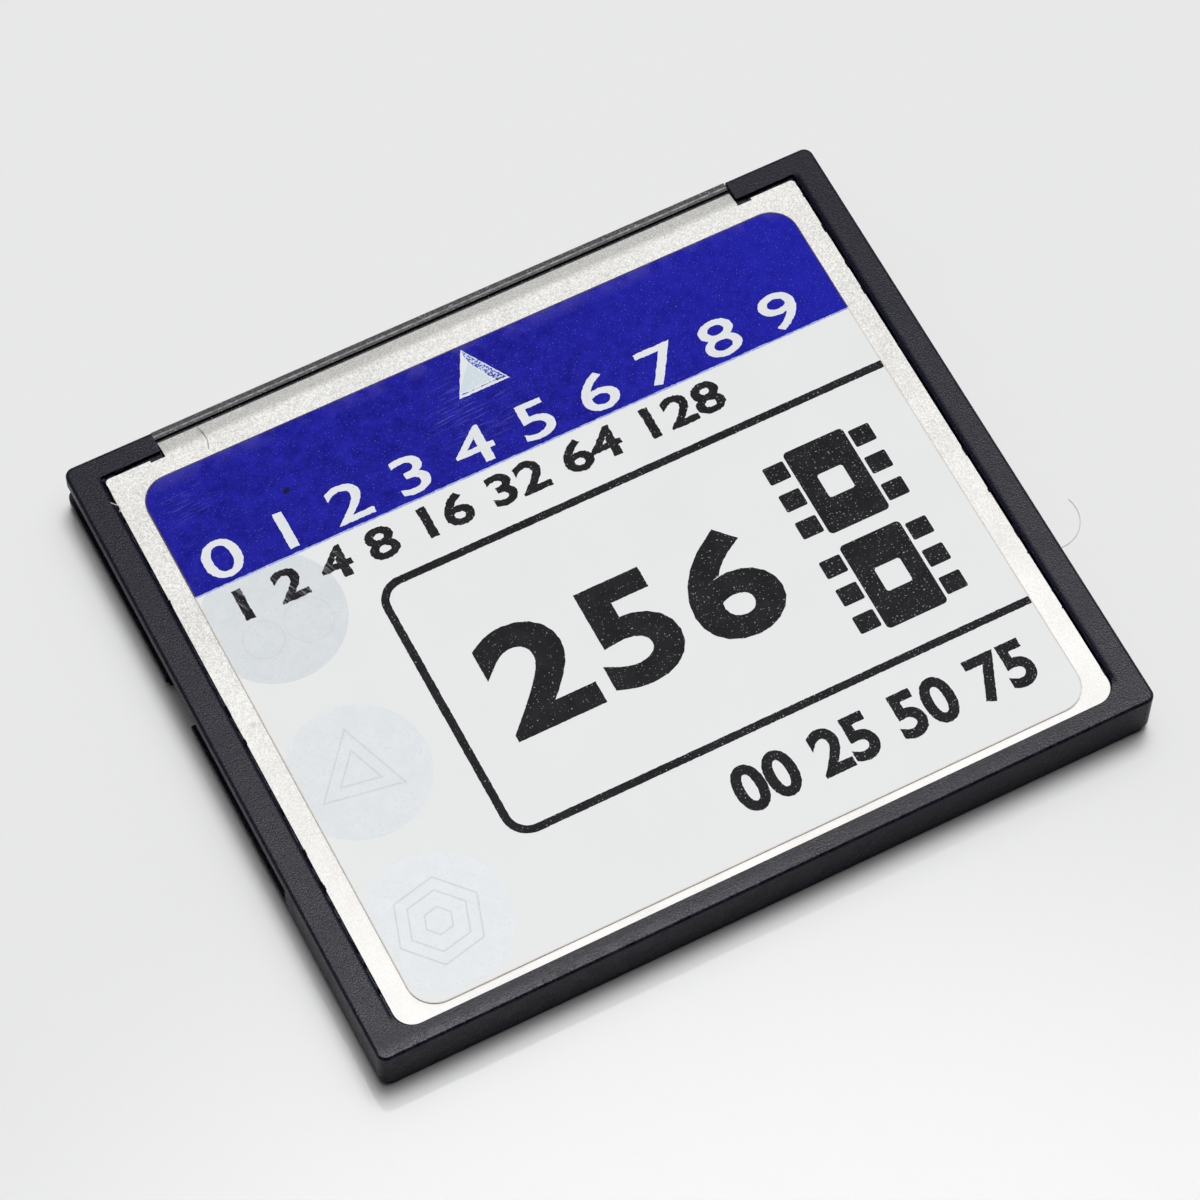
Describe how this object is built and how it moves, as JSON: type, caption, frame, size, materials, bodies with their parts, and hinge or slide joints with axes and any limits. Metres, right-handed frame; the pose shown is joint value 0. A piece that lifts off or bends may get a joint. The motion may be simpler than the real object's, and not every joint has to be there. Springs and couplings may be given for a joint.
{
  "type": "memory card",
  "caption": "Flat rectangular memory card: black plastic frame, steel covers, glossy label, notched guide slots in its sides and a pin socket along its front edge.",
  "frame": {"origin": "middle of the underside, on the surface the card lies on", "axes": "+X across the card from the left guide slot to the right one, +Y towards the socket and into the reader, +Z out of the label"},
  "size_m": [0.0428, 0.0364, 0.0033],
  "materials": {
    "upper_plastic": "fine spark-eroded texture",
    "lower_plastic": "fine spark-eroded texture",
    "cover_steel": "bead blasted satin",
    "label_film": "glossy printed film",
    "socket_plastic": "moulded, slightly glossy",
    "contact_metal": "gold flash",
    "board_laminate": "green solder mask",
    "pad_metal": "gold flash",
    "chip_plastic": "moulded",
    "lead_metal": "tinned",
    "capacitor_ceramic": "fired",
    "resistor_ceramic": "fired",
    "crystal_ceramic": "fired"
  },
  "bodies": {
    "root": {"upper_shell": "upper_plastic", "lower_shell": "lower_plastic", "top_cover": "cover_steel", "bottom_cover": "cover_steel", "label": "label_film", "socket_housing": "socket_plastic", "upper_contacts": "contact_metal", "lower_contacts": "contact_metal", "circuit_board": "board_laminate", "upper_pads": "pad_metal", "lower_pads": "pad_metal", "controller_body": "chip_plastic", "controller_leads": "lead_metal", "upper_memory_body": "chip_plastic", "upper_memory_leads": "lead_metal", "lower_memory_body": "chip_plastic", "lower_memory_leads": "lead_metal", "capacitor_bodies": "capacitor_ceramic", "capacitor_ends": "lead_metal", "resistor_bodies": "resistor_ceramic", "resistor_ends": "lead_metal", "crystal_base": "crystal_ceramic", "crystal_can": "lead_metal", "regulator_body": "chip_plastic", "regulator_leads": "lead_metal"}
  },
  "joints": []
}
